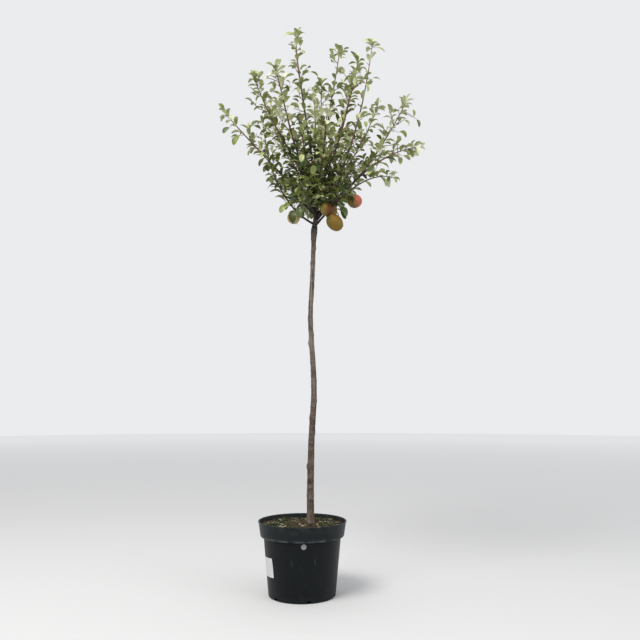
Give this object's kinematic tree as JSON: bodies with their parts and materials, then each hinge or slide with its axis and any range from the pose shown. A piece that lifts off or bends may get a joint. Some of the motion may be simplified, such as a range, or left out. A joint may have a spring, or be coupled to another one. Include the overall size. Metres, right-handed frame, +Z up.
{
  "type": "potted flowering quince tree",
  "caption": "Young half-standard flowering quince with fruit: a slim clear stem and an airy, leafy head, rooted in a round black nursery pot of soil.",
  "frame": {"origin": "centre of the pot's flat underside", "axes": "+Z up along the stem, +X to the right and +Y away from the viewer, as the plant stands in the picture"},
  "size_m": [0.7234, 0.6255, 1.9297],
  "materials": {
    "pot": "satin",
    "soil": "matte",
    "bark": "matte",
    "branch": "satin",
    "leaves": "satin",
    "fruit": "satin",
    "label": "matte"
  },
  "bodies": {
    "root": {"bough_back": "branch", "bough_back_left": "branch", "bough_back_right": "branch", "bough_far_left": "branch", "bough_far_right": "branch", "bough_front": "branch", "bough_front_left": "branch", "bough_front_right": "branch", "bough_fruiting": "branch", "bough_left": "branch", "bough_left_leader": "branch", "bough_low_back": "branch", "bough_low_back_left": "branch", "bough_low_front": "branch", "bough_low_left": "branch", "bough_low_right": "branch", "bough_mid_back": "branch", "bough_mid_front": "branch", "bough_right": "branch", "bough_right_leader": "branch", "foliage_back": "leaves", "foliage_back_left": "leaves", "foliage_back_right": "leaves", "foliage_far_left": "leaves", "foliage_far_right": "leaves", "foliage_front": "leaves", "foliage_front_left": "leaves", "foliage_front_right": "leaves", "foliage_fruiting": "leaves", "foliage_heart_back": "leaves", "foliage_heart_front": "leaves", "foliage_heart_left": "leaves", "foliage_heart_low": "leaves", "foliage_heart_low_right": "leaves", "foliage_heart_right": "leaves", "foliage_heart_side": "leaves", "foliage_left": "leaves", "foliage_left_leader": "leaves", "foliage_low_back": "leaves", "foliage_low_back_left": "leaves", "foliage_low_back_right": "leaves", "foliage_low_front": "leaves", "foliage_low_left": "leaves", "foliage_low_right": "leaves", "foliage_mid_back": "leaves", "foliage_mid_front": "leaves", "foliage_mid_right": "leaves", "foliage_right": "leaves", "foliage_right_leader": "leaves", "pot": "pot", "soil": "soil", "trunk": "bark"}
  },
  "joints": []
}
